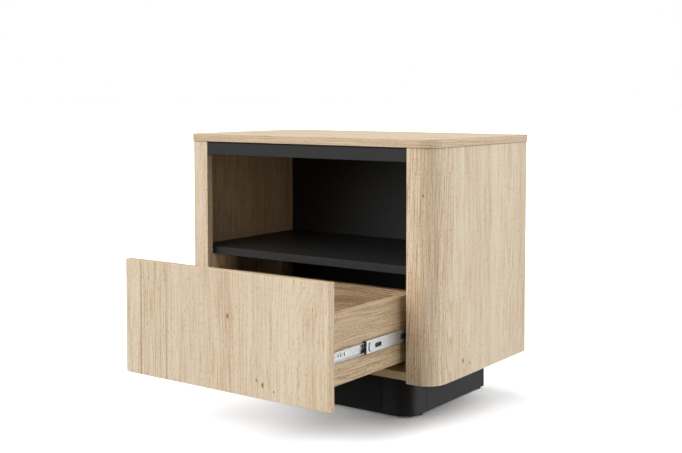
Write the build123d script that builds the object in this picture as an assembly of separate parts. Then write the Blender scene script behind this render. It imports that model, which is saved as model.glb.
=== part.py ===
from build123d import *
import os

# A bedside cabinet: an oak carcass with rounded front corners, an open niche above one drawer, and a
# set-back black plinth on four glides. The drawer runs on two telescopic ball-bearing slides and
# stands partly open, which is the rest pose of its joint.
#
# Millimetres. +X is to the right seen from the front, +Y is to the back, +Z is up. Pieces are modelled
# with y = 0 at the front edge of the top panel, z = 0 on the floor and the drawer closed. save() draws
# the drawer's pieces out and puts the origin under the middle of the whole outline.

# Overall
WIDTH = 641.0
DEPTH = 388.0
HEIGHT = 568.0
BOARD = 16.0  # thickness of the carcass boards
EDGE_ROUND = 0.6  # rounding of the visible board edges
SEAM = 0.5  # bevel that makes a fine line where two boards meet
NEAR = 0.01  # how close an edge or a corner must be to the place it is looked for at
CLEAR = 1.0  # how far a cutting shape reaches past what it cuts
DIAGONAL = 0.5**0.5  # what a unit length at 45 degrees makes along each axis

# Carcass
TOP_OVERHANG = 2.0
CORNER_R = 43.0  # outer radius of the front corner posts
POST_DEPTH = 68.3  # from a post's front face to its seam with the side panel
OPENING_HALF = 255.0  # half the clear width between the posts
BASE_Z = 96.5  # underside of the carcass
SHELF_TOP = 320.5
SHELF_SETBACK = 20.0  # of the shelf and the bottom panel behind the posts' front
FIT_GAP = 0.5  # clearance of a rounded board corner inside a post

# Front rail
RAIL_BOTTOM = 524.0
RAIL_GAP = 3.5  # height of the shadow gap under the top panel
RAIL_GAP_DEPTH = 6.0

# Back panel, held in grooves
BACK_THICK = 4.0
BACK_FRONT_Y = 363.0
GROOVE_DEPTH = 6.0
GROOVE_PLAY = 0.25

# Slide carriers, between a side panel and its slide
CARRIER_FRONT_END = 100.0
CARRIER_REAR_START = 261.0
CARRIER_REAR_END = 284.0

# Plinth
PLINTH_HALF = 219.0
PLINTH_FRONT_Y = 75.5
PLINTH_CORNER_LEG = 66.0
PLINTH_BACK_THICK = 10.0
GLIDE_HEIGHT = 4.0
GLIDE_R = 7.5
GLIDE_ROUND = 1.0
GLIDE_INSET = 8.5  # of a glide's centre from the plinth's side face
GLIDE_YS = (125.0, 372.0)
PIN_R = 1.5
PIN_LENGTH = 15.0

# Angle brackets inside the plinth
BRACKET_LEG = 25.0
BRACKET_HALF_WIDTH = 10.0
BRACKET_THICK = 1.5
BRACKET_HOLE_AT = 15.0
BRACKET_SIDE_YS = (180.0, 330.0)
BRACKET_X = 100.0

# Drawer
DRAWER_FRONT_HALF = 251.5
DRAWER_FRONT_BOTTOM = 97.5
DRAWER_FRONT_TOP = 326.0
DRAWER_BOX_LENGTH = 300.0
DRAWER_BOX_BOTTOM = 136.0
DRAWER_BOX_TOP = 265.0
DRAWER_FLOOR_Z = 146.0
DRAWER_FLOOR_THICK = 3.0
DRAWER_GROOVE = 5.0
DRAWN_OUT = 245.6  # how far the drawer is open at rest

# Shares of the drawer's travel that the slide pieces make
MIDDLE_SHARE = 0.6
OUTER_CAGE_SHARE = 0.3
INNER_CAGE_SHARE = 0.8

# Telescopic slides. u is measured from the drawer side towards the cabinet wall, v up from the centre.
SLIDE_THICK = 12.7
SLIDE_Z = 190.0
SHEET = 1.0
SHEET_BEND = 1.6  # outer radius of the folded sheet
SLIDE_START = 20.0
CABINET_MEMBER_LENGTH = 300.0
CABINET_MEMBER_HALF = 17.5
CABINET_MEMBER_LIP_U = 0.8
MIDDLE_START = 21.5
MIDDLE_LENGTH = 292.0
MIDDLE_HALF = 12.75
MIDDLE_LIP_U = 1.2
MIDDLE_WEB_U = 8.3  # outer face of the middle member's web
DRAWER_MEMBER_LENGTH = 296.0
DRAWER_MEMBER_HALF = 9.75
DRAWER_MEMBER_LIP_U = 6.2
BALL_PLAY = 0.05

# Ball cages, each a folded strip with two rows of balls
INNER_BALL_R = 1.3
INNER_BALL_U = 3.6
INNER_CAGE_START = 66.3
INNER_CAGE_LENGTH = 120.0
INNER_CAGE_WEB = (6.45, 6.95)
INNER_CAGE_ARM = (10.4, 11.1)
INNER_CAGE_LIP_U = 1.8
INNER_CAGE_MOUTH = 12.0  # length of the notch in the front end of the inner cage
INNER_CAGE_MOUTH_HALF = 4.0
INNER_BALLS = 6
OUTER_BALL_R = 2.0
OUTER_BALL_U = 4.8
OUTER_CAGE_START = 63.7
OUTER_CAGE_LENGTH = 150.0
OUTER_CAGE_WEB = (9.0, 9.5)
OUTER_CAGE_ARM = (14.1, 15.1)
OUTER_CAGE_LIP_U = 2.6
OUTER_CAGE_TONGUE = 26.0  # front stretch of the outer cage that has no arms
OUTER_CAGE_TONGUE_HALF = 5.2
OUTER_BALLS = 8
CAGE_PLAY = 0.1

# Middle member's web
BAND_HALF = 5.5
BAND_RISE = 0.3
BAND_MARGIN = 12.0
STOP_SLOT_AT = 6.0  # from the member's front end
STOP_SLOT_WIDTH = 3.0
STOP_SLOT_R = 13.0
STOP_SLOT_HALF = 8.5
WINDOW_AT = 38.0
WINDOW_LENGTH = 22.0
WINDOW_HALF = 4.3
TAB_AT = 51.0
TAB_HALF = 5.5
TAB_RISE = 0.25

# Drawer member's web, with places from its front end
SMALL_HOLE_AT = 20.7
SMALL_HOLE_R = 2.0
SLOT_AT = 28.6
SLOT_HALF_WIDTH = 1.6
SLOT_HALF_HEIGHT = 3.8
DIMPLES = ((61.1, 2.0), (81.8, -3.0))
DIMPLE_R = 1.5

# Release lever on the drawer member
LEVER_PIVOT_Y = 173.6
LEVER_REACH = 22.0
LEVER_HALF = 2.2
LEVER_U = (1.4, 4.2)
LEVER_SWEEP = 6.0  # degrees that each half is bent down
LEVER_PAD_R = 3.6
STUD_R = 2.0
STUD_TOP_U = 4.6
STUD_PLAY = 0.06

# Fasteners
DOWEL_R = 4.0
RAIL_DOWEL_R = 3.0
RAIL_DOWEL_LENGTH = 24.0
RAIL_DOWEL_DEPTH = 9.0  # behind the rail's front face
DOWEL_LENGTH = 32.0
DOWEL_IN_FACE = 11.0  # how far a dowel goes into the face of a board
DOWEL_BEVEL = 0.8
DOWEL_YS = (110.0, 220.0, 330.0)
SEAM_DOWEL_ZS = (150.0, 250.0, 400.0, 500.0)
RAIL_DOWEL_ZS = (531.0, 543.0)
PEG_PLAY = 0.05  # radial clearance of a peg or screw in its hole
PEG_END_PLAY = 0.5
CAM_R = 7.5
CAM_DEPTH = 12.5
CAM_SLOT_DEPTH = 2.0
CAM_SLOT_REACH = 5.0
CAM_FROM_EDGE = 24.0
CAM_ZS = (172.0, 230.0)
CAM_BOLT_R = 3.0
CAM_BOLT_IN_FRONT = 10.0
BOX_SCREW_R = 3.4
BOX_SCREW_HEAD_R = 5.0
BOX_SCREW_LENGTH = 48.0
BOX_SCREW_SOCKET_R = 2.2
BOX_SCREW_SOCKET_DEPTH = 3.0
BOX_SCREW_ZS = (168.0, 233.0)
SMALL_SCREW_R = 1.75
SMALL_SCREW_HEAD_R = 3.3
SMALL_SCREW_HEAD = 1.7
SMALL_SCREW_LENGTH = 12.0
CROSS_WIDTH = 0.9
CROSS_DEPTH = 1.0
CABINET_SCREW_YS = (57.0, 272.0)
DRAWER_SCREW_YS = (62.9, 290.0)

# Worked out from the above
SIDE_X = WIDTH / 2 - TOP_OVERHANG
WALL_X = SIDE_X - BOARD
BOARD_MID_X = SIDE_X - BOARD / 2
FRONT_Y = TOP_OVERHANG
SEAM_Y = FRONT_Y + POST_DEPTH
SHELF_Y = FRONT_Y + SHELF_SETBACK
TOP_Z = HEIGHT - BOARD
FLOOR_TOP = BASE_Z + BOARD
SHELF_BOTTOM = SHELF_TOP - BOARD
BOX_FRONT_Y = FRONT_Y + BOARD
BOX_BACK_Y = BOX_FRONT_Y + DRAWER_BOX_LENGTH
BOX_OUTER_X = OPENING_HALF - SLIDE_THICK
BOX_INNER_X = BOX_OUTER_X - BOARD
CAM_Y = BOX_FRONT_Y + CAM_FROM_EDGE
PLINTH_INNER_X = PLINTH_HALF - BOARD
PLINTH_BACK_Y = DEPTH - PLINTH_BACK_THICK
MIDDLE_Y = (FRONT_Y - DRAWN_OUT + DEPTH) / 2

TURN = {"x": Rot(0, 90, 0), "y": Rot(-90, 0, 0), "z": Rot(0, 0, 0)}

os.makedirs("parts", exist_ok=True)


def save(node, shape, share=0.0):
    """Write a node, drawn out by its share of the drawer's travel."""
    placed = Pos(0, -share * DRAWN_OUT - MIDDLE_Y, 0) * shape
    export_step(placed, f"parts/{node}.step")


def save_pair(node, shape, share=0.0):
    """Write a piece of the right-hand side and its mirror image."""
    save(f"right_{node}", shape, share)
    save(f"left_{node}", mirror(shape, about=Plane.YZ), share)


def group(solids):
    """Separate solids that share one node."""
    return Compound(children=list(solids))


def with_mirror(solids):
    """The solids of the right-hand side followed by their mirror images."""
    right = list(solids)
    return right + [mirror(solid, about=Plane.YZ) for solid in right]


def block(x0, x1, y0, y1, z0, z1):
    """A box between two opposite corners."""
    middle = Pos((x0 + x1) / 2, (y0 + y1) / 2, (z0 + z1) / 2)
    return middle * Box(x1 - x0, y1 - y0, z1 - z0)


def rod(centre, axis, radius, length):
    """A cylinder about a point, along x, y or z."""
    return Pos(*centre) * TURN[axis] * Cylinder(radius, length)


def upright_edges(shape, x=None, y=None):
    """The straight vertical edges of a shape, or only those at a given x or y."""
    found = shape.edges().filter_by(Axis.Z)
    if x is not None:
        found = found.filter_by(lambda edge: abs(edge.center().X - x) < NEAR)
    if y is not None:
        found = found.filter_by(lambda edge: abs(edge.center().Y - y) < NEAR)
    return found


def end_edges(shape, axis, low=True, high=True):
    """The edges around the lowest and the highest face along an axis."""
    faces = shape.faces().sort_by(axis)
    return (faces[0].edges() if low else []) + (faces[-1].edges() if high else [])


def rounded_slab(half_width, y0, y1, z0, z1, radius):
    """A board, symmetric about x = 0, whose two front corners are round."""
    slab = block(-half_width, half_width, y0, y1, z0, z1)
    return fillet(upright_edges(slab, y=y0), radius)


def curved_corner(inner_edge_x, outer_x, front_y, end_y, z0, z1):
    """A right-hand corner board: front leg, quarter bend and side leg of one thickness."""
    outer = block(inner_edge_x, outer_x, front_y, end_y, z0, z1)
    outer = fillet(upright_edges(outer, x=outer_x, y=front_y), CORNER_R)
    inner_x = outer_x - BOARD
    inner_y = front_y + BOARD
    inner = block(inner_edge_x - CLEAR, inner_x, inner_y, end_y + CLEAR, z0 - CLEAR, z1 + CLEAR)
    inner = fillet(upright_edges(inner, x=inner_x, y=inner_y), CORNER_R - BOARD)
    return outer - inner


# Pegs and screws


def peg(centre, axis, radius, length, play=0.0):
    """A dowel, or with play the hole that takes it."""
    if play:
        return rod(centre, axis, radius + play, length + 2 * PEG_END_PLAY)
    pin = Cylinder(radius, length)
    pin = chamfer(pin.edges().filter_by(GeomType.CIRCLE), DOWEL_BEVEL)
    return Pos(*centre) * TURN[axis] * pin


def right_dowels(play=0.0):
    """The dowels of the carcass on the right-hand side."""
    rest_of_dowel = DOWEL_LENGTH - DOWEL_IN_FACE
    up_z = TOP_Z + (DOWEL_IN_FACE - rest_of_dowel) / 2
    side_x = WALL_X + (DOWEL_IN_FACE - rest_of_dowel) / 2
    from_middle = (CORNER_R - BOARD / 2) * DIAGONAL
    bend_x = SIDE_X - CORNER_R + from_middle
    bend_y = FRONT_Y + CORNER_R - from_middle
    leg_y = SEAM_Y - BOARD / 2
    places = [((bend_x, bend_y, up_z), "z"), ((BOARD_MID_X, leg_y, up_z), "z")]
    for y in DOWEL_YS:
        places.append(((BOARD_MID_X, y, up_z), "z"))
        places.append(((side_x, y, BASE_Z + BOARD / 2), "x"))
        places.append(((side_x, y, SHELF_TOP - BOARD / 2), "x"))
    places += [((BOARD_MID_X, SEAM_Y, z), "y") for z in SEAM_DOWEL_ZS]
    return [peg(centre, axis, DOWEL_R, DOWEL_LENGTH, play) for centre, axis in places]


def right_rail_dowels(play=0.0):
    """The thinner dowels at the right-hand end of the front rail."""
    places = [(OPENING_HALF, FRONT_Y + RAIL_DOWEL_DEPTH, z) for z in RAIL_DOWEL_ZS]
    return [peg(centre, "x", RAIL_DOWEL_R, RAIL_DOWEL_LENGTH, play) for centre in places]


CARCASS_HOLES = with_mirror(right_dowels(PEG_PLAY) + right_rail_dowels(PEG_PLAY))


def small_screw():
    """A pan-head screw: head above z = 0 with a cross recess, shank and point below."""
    head = Pos(0, 0, SMALL_SCREW_HEAD / 2) * Cylinder(SMALL_SCREW_HEAD_R, SMALL_SCREW_HEAD)
    head = fillet(head.edges().filter_by(GeomType.CIRCLE).sort_by(Axis.Z)[-1], SMALL_SCREW_HEAD / 2)
    shank = Pos(0, 0, -SMALL_SCREW_LENGTH / 2) * Cylinder(SMALL_SCREW_R, SMALL_SCREW_LENGTH)
    shank = chamfer(shank.edges().filter_by(GeomType.CIRCLE).sort_by(Axis.Z)[0], SMALL_SCREW_R / 2)
    z = SMALL_SCREW_HEAD
    arm = SMALL_SCREW_HEAD_R / 2
    cross = block(-arm, arm, -CROSS_WIDTH / 2, CROSS_WIDTH / 2, z - CROSS_DEPTH, z + CLEAR)
    return head + shank - cross - Rot(0, 0, 90) * cross


def small_screw_hole():
    """The hole that takes a small screw's shank."""
    length = SMALL_SCREW_LENGTH + PEG_END_PLAY + BRACKET_THICK
    middle_z = BRACKET_THICK - length / 2
    return Pos(0, 0, middle_z) * Cylinder(SMALL_SCREW_R + PEG_PLAY, length)


# Carcass


def top_panel():
    """The top, with round front corners and softened edges."""
    slab = rounded_slab(WIDTH / 2, 0, DEPTH, TOP_Z, HEIGHT, CORNER_R + TOP_OVERHANG)
    slab = fillet(end_edges(slab, Axis.Z), EDGE_ROUND)
    return slab - back_panel(GROOVE_PLAY) - CARCASS_HOLES


def post():
    """The right front post, a curved board with an upright seam to the side panel."""
    board = curved_corner(OPENING_HALF, SIDE_X, FRONT_Y, SEAM_Y, BASE_Z, TOP_Z)
    board = fillet(upright_edges(board, x=OPENING_HALF), EDGE_ROUND)
    board = chamfer(upright_edges(board, x=SIDE_X, y=SEAM_Y), SEAM)
    board = chamfer(end_edges(board, Axis.Z, high=False), SEAM)
    return board - CARCASS_HOLES


def side_panel():
    """The right side panel, behind the post."""
    board = block(WALL_X, SIDE_X, SEAM_Y, DEPTH, BASE_Z, TOP_Z)
    board = chamfer(upright_edges(board, x=SIDE_X, y=SEAM_Y), SEAM)
    board = chamfer(upright_edges(board, y=DEPTH), SEAM)
    return board - back_panel(GROOVE_PLAY) - CARCASS_HOLES


def inner_board(z0, z1, y1):
    """A horizontal board between the side panels, with corners that fit inside the posts."""
    radius = CORNER_R - BOARD - FIT_GAP
    front = rounded_slab(WALL_X - FIT_GAP, BOX_FRONT_Y + FIT_GAP, SEAM_Y + CLEAR, z0, z1, radius)
    front -= block(-WIDTH, WIDTH, 0, SHELF_Y, z0 - CLEAR, z1 + CLEAR)
    front = fillet(front.edges().filter_by(Axis.X).group_by(Axis.Y)[0], EDGE_ROUND)
    return front + block(-WALL_X, WALL_X, SEAM_Y, y1, z0, z1)


def bottom_panel():
    """The carcass bottom, grooved for the back panel and drilled for the plinth brackets."""
    board = inner_board(BASE_Z, FLOOR_TOP, DEPTH)
    return board - back_panel(GROOVE_PLAY) - CARCASS_HOLES - bracket_screws(small_screw_hole)


def shelf():
    """The shelf between the niche and the drawer."""
    board = inner_board(SHELF_BOTTOM, SHELF_TOP, BACK_FRONT_Y - GROOVE_PLAY)
    return board - CARCASS_HOLES


def back_panel(play=0.0):
    """The thin back, or with play the room that its grooves leave it."""
    reach = GROOVE_DEPTH - PEG_END_PLAY + play
    return block(
        -WALL_X - reach,
        WALL_X + reach,
        BACK_FRONT_Y - play,
        BACK_FRONT_Y + BACK_THICK + play,
        FLOOR_TOP - reach,
        TOP_Z + reach,
    )


def front_rail():
    """The rail under the top, rebated so that a shadow gap shows above it."""
    rail = block(-OPENING_HALF, OPENING_HALF, FRONT_Y, BOX_FRONT_Y, RAIL_BOTTOM, TOP_Z)
    gap_z = TOP_Z - RAIL_GAP
    rail -= block(-WIDTH, WIDTH, 0, FRONT_Y + RAIL_GAP_DEPTH, gap_z, HEIGHT)
    front_edges = rail.edges().filter_by(Axis.X).group_by(Axis.Y)[0]
    return fillet(front_edges, EDGE_ROUND) - CARCASS_HOLES


def carrier(y0, y1):
    """An upright batten that brings a slide in from the side wall."""
    inner_x = OPENING_HALF
    batten = block(inner_x, WALL_X, y0, y1, FLOOR_TOP, SHELF_BOTTOM)
    radius = CORNER_R - BOARD - FIT_GAP
    room = rounded_slab(WALL_X - FIT_GAP, BOX_FRONT_Y, DEPTH, BASE_Z, HEIGHT, radius)
    if y0 < SEAM_Y:
        batten &= room
    batten = chamfer(upright_edges(batten, x=inner_x), SEAM)
    return batten - slide_screws(small_screw_hole, "cabinet")


# Plinth


def plinth_corner():
    """The right front corner of the plinth, bent like the posts."""
    corner = curved_corner(
        PLINTH_HALF - PLINTH_CORNER_LEG,
        PLINTH_HALF,
        PLINTH_FRONT_Y,
        PLINTH_FRONT_Y + PLINTH_CORNER_LEG,
        GLIDE_HEIGHT,
        BASE_Z,
    )
    leg_x = PLINTH_HALF - PLINTH_CORNER_LEG
    leg_y = PLINTH_FRONT_Y + PLINTH_CORNER_LEG
    corner = chamfer(upright_edges(corner, x=leg_x, y=PLINTH_FRONT_Y), SEAM)
    corner = chamfer(upright_edges(corner, x=PLINTH_HALF, y=leg_y), SEAM)
    return corner - glide_holes()


def plinth_front():
    """The straight board between the two front corners."""
    half = PLINTH_HALF - PLINTH_CORNER_LEG
    board = block(-half, half, PLINTH_FRONT_Y, PLINTH_FRONT_Y + BOARD, GLIDE_HEIGHT, BASE_Z)
    board = chamfer(upright_edges(board, y=PLINTH_FRONT_Y), SEAM)
    return board - bracket_screws(small_screw_hole)


def plinth_side():
    """The right side board of the plinth."""
    y0 = PLINTH_FRONT_Y + PLINTH_CORNER_LEG
    board = block(PLINTH_INNER_X, PLINTH_HALF, y0, PLINTH_BACK_Y, GLIDE_HEIGHT, BASE_Z)
    board = chamfer(upright_edges(board, x=PLINTH_HALF), SEAM)
    return board - glide_holes() - bracket_screws(small_screw_hole)


def plinth_back():
    """The thinner board that closes the plinth behind."""
    board = block(-PLINTH_HALF, PLINTH_HALF, PLINTH_BACK_Y, DEPTH, GLIDE_HEIGHT, BASE_Z)
    board = chamfer(upright_edges(board), SEAM)
    return board - bracket_screws(small_screw_hole)


def glide(x, y):
    """A low round glide with the pin that holds it in the plinth's lower edge."""
    foot = Pos(0, 0, GLIDE_HEIGHT / 2) * Cylinder(GLIDE_R, GLIDE_HEIGHT)
    foot = fillet(foot.edges().filter_by(GeomType.CIRCLE).sort_by(Axis.Z)[0], GLIDE_ROUND)
    pin = Pos(0, 0, GLIDE_HEIGHT + PIN_LENGTH / 2) * Cylinder(PIN_R, PIN_LENGTH)
    return Pos(x, y, 0) * (foot + pin)


def glide_holes():
    """The holes for the glides' pins."""
    x = PLINTH_HALF - GLIDE_INSET
    depth = PIN_LENGTH + PEG_END_PLAY
    places = [(x, y, GLIDE_HEIGHT + depth / 2) for y in GLIDE_YS]
    return with_mirror(rod(place, "z", PIN_R + PEG_PLAY, depth) for place in places)


def bracket_places():
    """Where the angle brackets sit: on the inner faces of the plinth, under the bottom panel."""
    places = []
    for y in BRACKET_SIDE_YS:
        places.append(Location((-PLINTH_INNER_X, y, BASE_Z)))
        places.append(Location((PLINTH_INNER_X, y, BASE_Z), (0, 0, 180)))
    for x in (-BRACKET_X, BRACKET_X):
        places.append(Location((x, PLINTH_FRONT_Y + BOARD, BASE_Z), (0, 0, 90)))
        places.append(Location((x, PLINTH_BACK_Y, BASE_Z), (0, 0, -90)))
    return places


def bracket():
    """A steel angle whose corner is at the origin, with legs along +x and -z."""
    width = BRACKET_HALF_WIDTH
    across = block(0, BRACKET_LEG, -width, width, -BRACKET_THICK, 0)
    down = block(0, BRACKET_THICK, -width, width, -BRACKET_LEG, 0)
    angle = across + down
    bend = angle.edges().filter_by(Axis.Y).filter_by(lambda edge: edge.center().X < NEAR)
    bend = bend.sort_by(Axis.Z)[-1]
    angle = fillet(bend, BRACKET_THICK / 2)
    return angle - [spot * small_screw_hole() for spot in bracket_screw_spots()]


def bracket_screw_spots():
    """The two screws of a bracket: one up into the bottom panel, one into the plinth board."""
    up = Pos(BRACKET_HOLE_AT, 0, -BRACKET_THICK) * Rot(180, 0, 0)
    across = Pos(BRACKET_THICK, 0, -BRACKET_HOLE_AT) * Rot(0, 90, 0)
    return [up, across]


def bracket_screws(make):
    """Every bracket screw, or every hole for one, made by the given function."""
    spots = bracket_screw_spots()
    return [place * spot * make() for place in bracket_places() for spot in spots]


# Drawer


def drawer_front():
    """The inset drawer front, grooved for the floor and drilled for the cam bolts."""
    half = DRAWER_FRONT_HALF
    front = block(-half, half, FRONT_Y, BOX_FRONT_Y, DRAWER_FRONT_BOTTOM, DRAWER_FRONT_TOP)
    front = fillet(end_edges(front, Axis.Y), EDGE_ROUND)
    return front - drawer_floor(GROOVE_PLAY) - cam_bolts(PEG_PLAY)


def drawer_side():
    """The right side of the drawer box."""
    x0, x1 = BOX_INNER_X, BOX_OUTER_X
    side = block(x0, x1, BOX_FRONT_Y, BOX_BACK_Y, DRAWER_BOX_BOTTOM, DRAWER_BOX_TOP)
    side = fillet(side.edges().filter_by(Axis.Y), EDGE_ROUND)
    side = side - drawer_floor(GROOVE_PLAY) - cam_bolts(PEG_PLAY) - cams(PEG_PLAY)
    return side - box_screws(PEG_PLAY) - slide_screws(small_screw_hole, "drawer")


def drawer_back():
    """The back of the drawer box, between its sides."""
    y0 = BOX_BACK_Y - BOARD
    back = block(-BOX_INNER_X, BOX_INNER_X, y0, BOX_BACK_Y, DRAWER_BOX_BOTTOM, DRAWER_BOX_TOP)
    back = fillet(back.edges().filter_by(Axis.X), EDGE_ROUND)
    return back - drawer_floor(GROOVE_PLAY) - box_screws(PEG_PLAY)


def drawer_floor(play=0.0):
    """The thin drawer floor, or with play the room that its grooves leave it."""
    reach = DRAWER_GROOVE - PEG_END_PLAY + play
    return block(
        -BOX_INNER_X - reach,
        BOX_INNER_X + reach,
        BOX_FRONT_Y - reach,
        BOX_BACK_Y - BOARD + reach,
        DRAWER_FLOOR_Z - play,
        DRAWER_FLOOR_Z + DRAWER_FLOOR_THICK + play,
    )


def cams(play=0.0):
    """The cam discs in the drawer sides' inner faces, or with play their pockets."""
    discs = []
    for z in CAM_ZS:
        depth = CAM_DEPTH + play
        x = BOX_INNER_X + depth / 2
        disc = rod((x, CAM_Y, z), "x", CAM_R + play, depth)
        if not play:
            disc -= rod((x, CAM_Y - CAM_R, z), "y", CAM_BOLT_R + PEG_END_PLAY, CAM_R * 2)
            disc -= cam_slot(z)
        discs.append(disc)
    return with_mirror(discs)


def cam_slot(z):
    """The screwdriver slot across a cam disc."""
    y0, y1 = CAM_Y - CAM_SLOT_REACH, CAM_Y + CAM_SLOT_REACH
    x = BOX_INNER_X
    return block(x - CLEAR, x + CAM_SLOT_DEPTH, y0, y1, z - CROSS_WIDTH, z + CROSS_WIDTH)


def cam_bolts(play=0.0):
    """The bolts from the drawer front into the cam discs, or with play their holes."""
    x = BOX_INNER_X + CAM_DEPTH / 2
    y0 = BOX_FRONT_Y - CAM_BOLT_IN_FRONT
    y1 = CAM_Y - CAM_R / 2
    places = [(x, (y0 + y1) / 2, z) for z in CAM_ZS]
    return with_mirror(rod(place, "y", CAM_BOLT_R + play, y1 - y0 + 2 * play) for place in places)


def box_screws(play=0.0):
    """The long screws through the drawer sides into the back, or with play their holes."""
    screws = []
    for z in BOX_SCREW_ZS:
        length = BOX_SCREW_LENGTH + 2 * play
        head = BOX_SCREW_HEAD_R - BOX_SCREW_R
        shank = Pos(0, 0, -length / 2) * Cylinder(BOX_SCREW_R + play, length)
        screw = shank + Pos(0, 0, -head / 2) * Cone(BOX_SCREW_R + play, BOX_SCREW_HEAD_R + play, head)
        if not play:
            screw -= extrude(RegularPolygon(BOX_SCREW_SOCKET_R, 6), -BOX_SCREW_SOCKET_DEPTH)
        screws.append(Pos(BOX_OUTER_X, BOX_BACK_Y - BOARD / 2, z) * TURN["x"] * screw)
    return with_mirror(screws)


# Telescopic slides, modelled on the right. x = BOX_OUTER_X + u and z = SLIDE_Z + v.


def slide_bar(outline, start, length):
    """Extrude an outline drawn in u and v backwards along the slide."""
    bar = extrude(Plane.XZ * outline, -length)
    return Pos(BOX_OUTER_X, start, SLIDE_Z) * bar


def slide_block(u0, u1, y0, y1, v0, v1):
    """A box given in the slide's own u and v."""
    x, z = BOX_OUTER_X, SLIDE_Z
    return block(x + u0, x + u1, y0, y1, z + v0, z + v1)


def channel(u0, u1, half, opens_up):
    """The outline of a folded C of sheet, open towards greater or smaller u."""
    whole = Pos((u0 + u1) / 2, 0) * Rectangle(u1 - u0, 2 * half)
    closed_u = u0 if opens_up else u1
    corners = whole.vertices().filter_by(lambda point: abs(point.X - closed_u) < NEAR)
    whole = fillet(corners, SHEET_BEND)
    inside_u = (u0 + SHEET, u1 + CLEAR) if opens_up else (u0 - CLEAR, u1 - SHEET)
    inside = Pos(sum(inside_u) / 2, 0) * Rectangle(inside_u[1] - inside_u[0], 2 * (half - SHEET))
    corners = inside.vertices().filter_by(lambda point: abs(point.X - closed_u) < 2 * SHEET)
    inside = fillet(corners, SHEET_BEND - SHEET)
    return whole - inside


def race(u, v, radius):
    """The round grooves that a row of balls runs in, above and below the centre."""
    return [Pos(u, side * v) * Circle(radius + BALL_PLAY) for side in (-1, 1)]


def inner_ball_v():
    """Height of the inner balls, midway between the drawer member and the middle member."""
    return (DRAWER_MEMBER_HALF + MIDDLE_HALF - SHEET) / 2


def outer_ball_v():
    """Height of the outer balls, midway between the middle member and the cabinet member."""
    return (MIDDLE_HALF + CABINET_MEMBER_HALF - SHEET) / 2


def inner_race():
    """The grooves for the inner balls."""
    return race(INNER_BALL_U, inner_ball_v(), INNER_BALL_R)


def outer_race():
    """The grooves for the outer balls."""
    return race(OUTER_BALL_U, outer_ball_v(), OUTER_BALL_R)


def cabinet_member():
    """The slide's fixed member: a wide C screwed to the carriers."""
    outline = channel(CABINET_MEMBER_LIP_U, SLIDE_THICK, CABINET_MEMBER_HALF, False) - outer_race()
    member = slide_bar(outline, SLIDE_START, CABINET_MEMBER_LENGTH)
    return member - slide_screws(small_screw_hole, "cabinet")


def middle_member():
    """The slide's middle member, with a raised band, a stop slot and a window in its web."""
    outline = channel(MIDDLE_LIP_U, MIDDLE_WEB_U, MIDDLE_HALF, False) - inner_race() - outer_race()
    member = slide_bar(outline, MIDDLE_START, MIDDLE_LENGTH)
    band_start = MIDDLE_START + STOP_SLOT_AT + STOP_SLOT_WIDTH
    band_end = MIDDLE_START + MIDDLE_LENGTH - BAND_MARGIN
    web = MIDDLE_WEB_U
    band = slide_block(web - SHEET / 2, web + BAND_RISE, band_start, band_end, -BAND_HALF, BAND_HALF)
    band = fillet(band.edges().filter_by(Axis.X), BAND_HALF - NEAR)
    member += band
    tab_y = MIDDLE_START + TAB_AT
    top_u = web + BAND_RISE + TAB_RISE
    member += slide_block(web - SHEET / 2, top_u, tab_y, tab_y + SHEET, -TAB_HALF, TAB_HALF)
    return member - stop_slot() - window()


def stop_slot():
    """The curved slot near the front end, whose rear edge stops the release lever."""
    middle_y = MIDDLE_START + STOP_SLOT_AT + STOP_SLOT_R
    ring = Circle(STOP_SLOT_R) - Circle(STOP_SLOT_R - STOP_SLOT_WIDTH)
    ring &= Pos(-STOP_SLOT_R, 0) * Rectangle(STOP_SLOT_R, 2 * STOP_SLOT_HALF)
    cutter = extrude(ring, 2 * SHEET, both=True)
    turned = Rot(0, 90, 0) * Rot(0, 0, 90) * cutter
    return Pos(BOX_OUTER_X + MIDDLE_WEB_U, middle_y, SLIDE_Z) * turned


def window():
    """The long round-ended window in the middle member's web."""
    y = MIDDLE_START + WINDOW_AT
    long_side = WINDOW_LENGTH / 2
    web = MIDDLE_WEB_U
    u0, u1 = web - 2 * SHEET, web + CLEAR
    hole = slide_block(u0, u1, y - long_side, y + long_side, -WINDOW_HALF, WINDOW_HALF)
    return fillet(hole.edges().filter_by(Axis.X), WINDOW_HALF - NEAR)


def drawer_member():
    """The slide's inner member: a narrow C screwed to the drawer side, with a stud for the lever."""
    outline = channel(0, DRAWER_MEMBER_LIP_U, DRAWER_MEMBER_HALF, True) - inner_race()
    member = slide_bar(outline, SLIDE_START, DRAWER_MEMBER_LENGTH)
    z, y = SLIDE_Z, SLIDE_START
    x = BOX_OUTER_X
    member -= rod((x, y + SMALL_HOLE_AT, z), "x", SMALL_HOLE_R, 4 * SHEET)
    slot = slide_block(-SHEET, 2 * SHEET, y + SLOT_AT - SLOT_HALF_WIDTH, y + SLOT_AT + SLOT_HALF_WIDTH,
                       -SLOT_HALF_HEIGHT, SLOT_HALF_HEIGHT)
    member -= fillet(slot.edges().filter_by(Axis.X), SLOT_HALF_WIDTH - NEAR)
    for along, up in DIMPLES:
        member -= Pos(x + SHEET + DIMPLE_R / 2, y + along, z + up) * Sphere(DIMPLE_R)
    stud_length = STUD_TOP_U - SHEET / 2
    member += rod((x + SHEET / 2 + stud_length / 2, LEVER_PIVOT_Y, z), "x", STUD_R, stud_length)
    return member - slide_screws(small_screw_hole, "drawer")


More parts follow.
